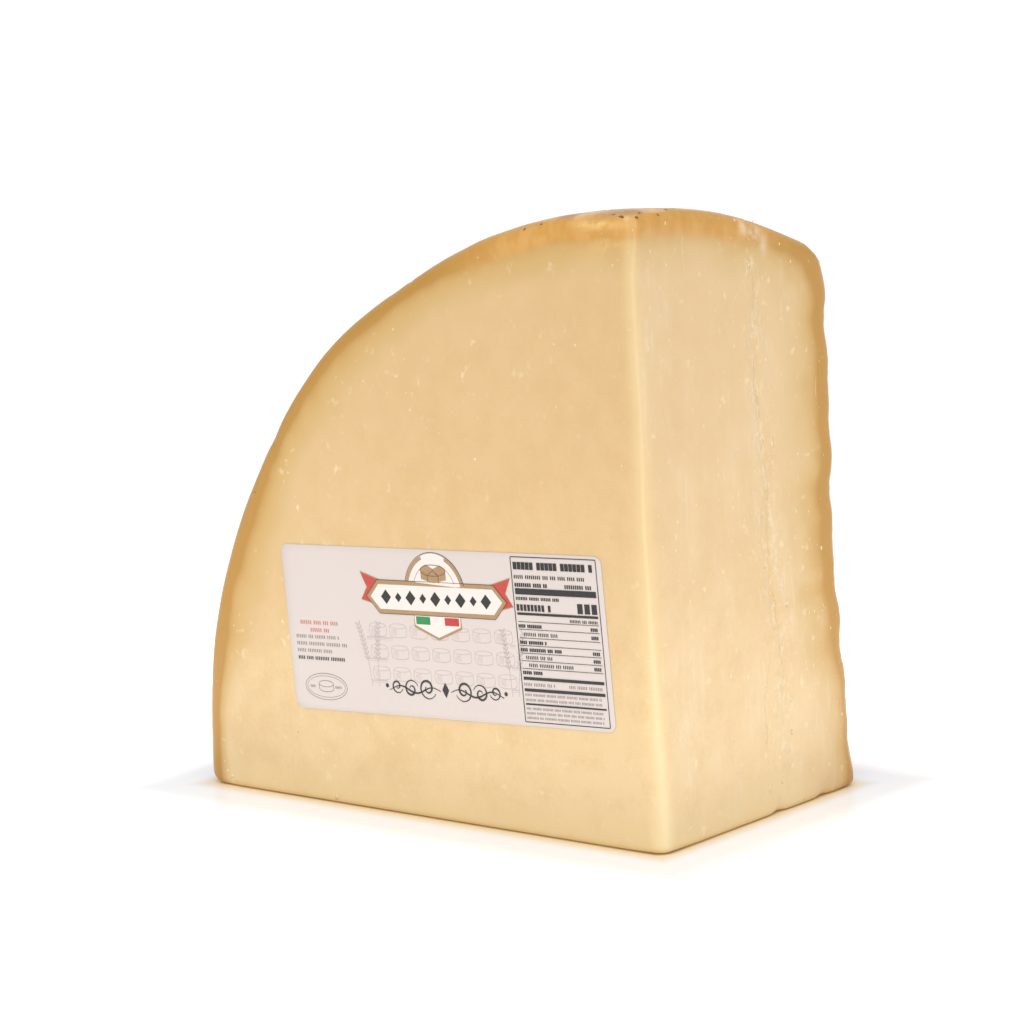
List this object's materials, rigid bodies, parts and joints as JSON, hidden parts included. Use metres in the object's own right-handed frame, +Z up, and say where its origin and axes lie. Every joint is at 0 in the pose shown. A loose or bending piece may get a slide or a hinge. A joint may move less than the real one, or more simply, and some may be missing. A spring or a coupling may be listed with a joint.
{
  "type": "aged hard cheese wedge with paper label",
  "caption": "Quarter cut from half the height of an aged hard cheese wheel, standing on a radial cut, with a curved rind over the top and a printed paper label on the front.",
  "frame": {"origin": "on the ground under the middle of the piece's bounding box, label included", "axes": "+Z up, square to the radial cut that the piece stands on; +Y from the labelled front, the cut at half the wheel's height, to the wheel's flat rind at the back, along the wheel's axis; +X towards the other radial cut"},
  "size_m": [0.2058, 0.1056, 0.2051],
  "materials": {
    "cheese": "pale straw cut faces with white crystals under a thin gloss, darkening to a golden brown rind at the heel and the back",
    "label": null
  },
  "bodies": {
    "root": {"cheese": "cheese", "label": "label"}
  },
  "joints": []
}
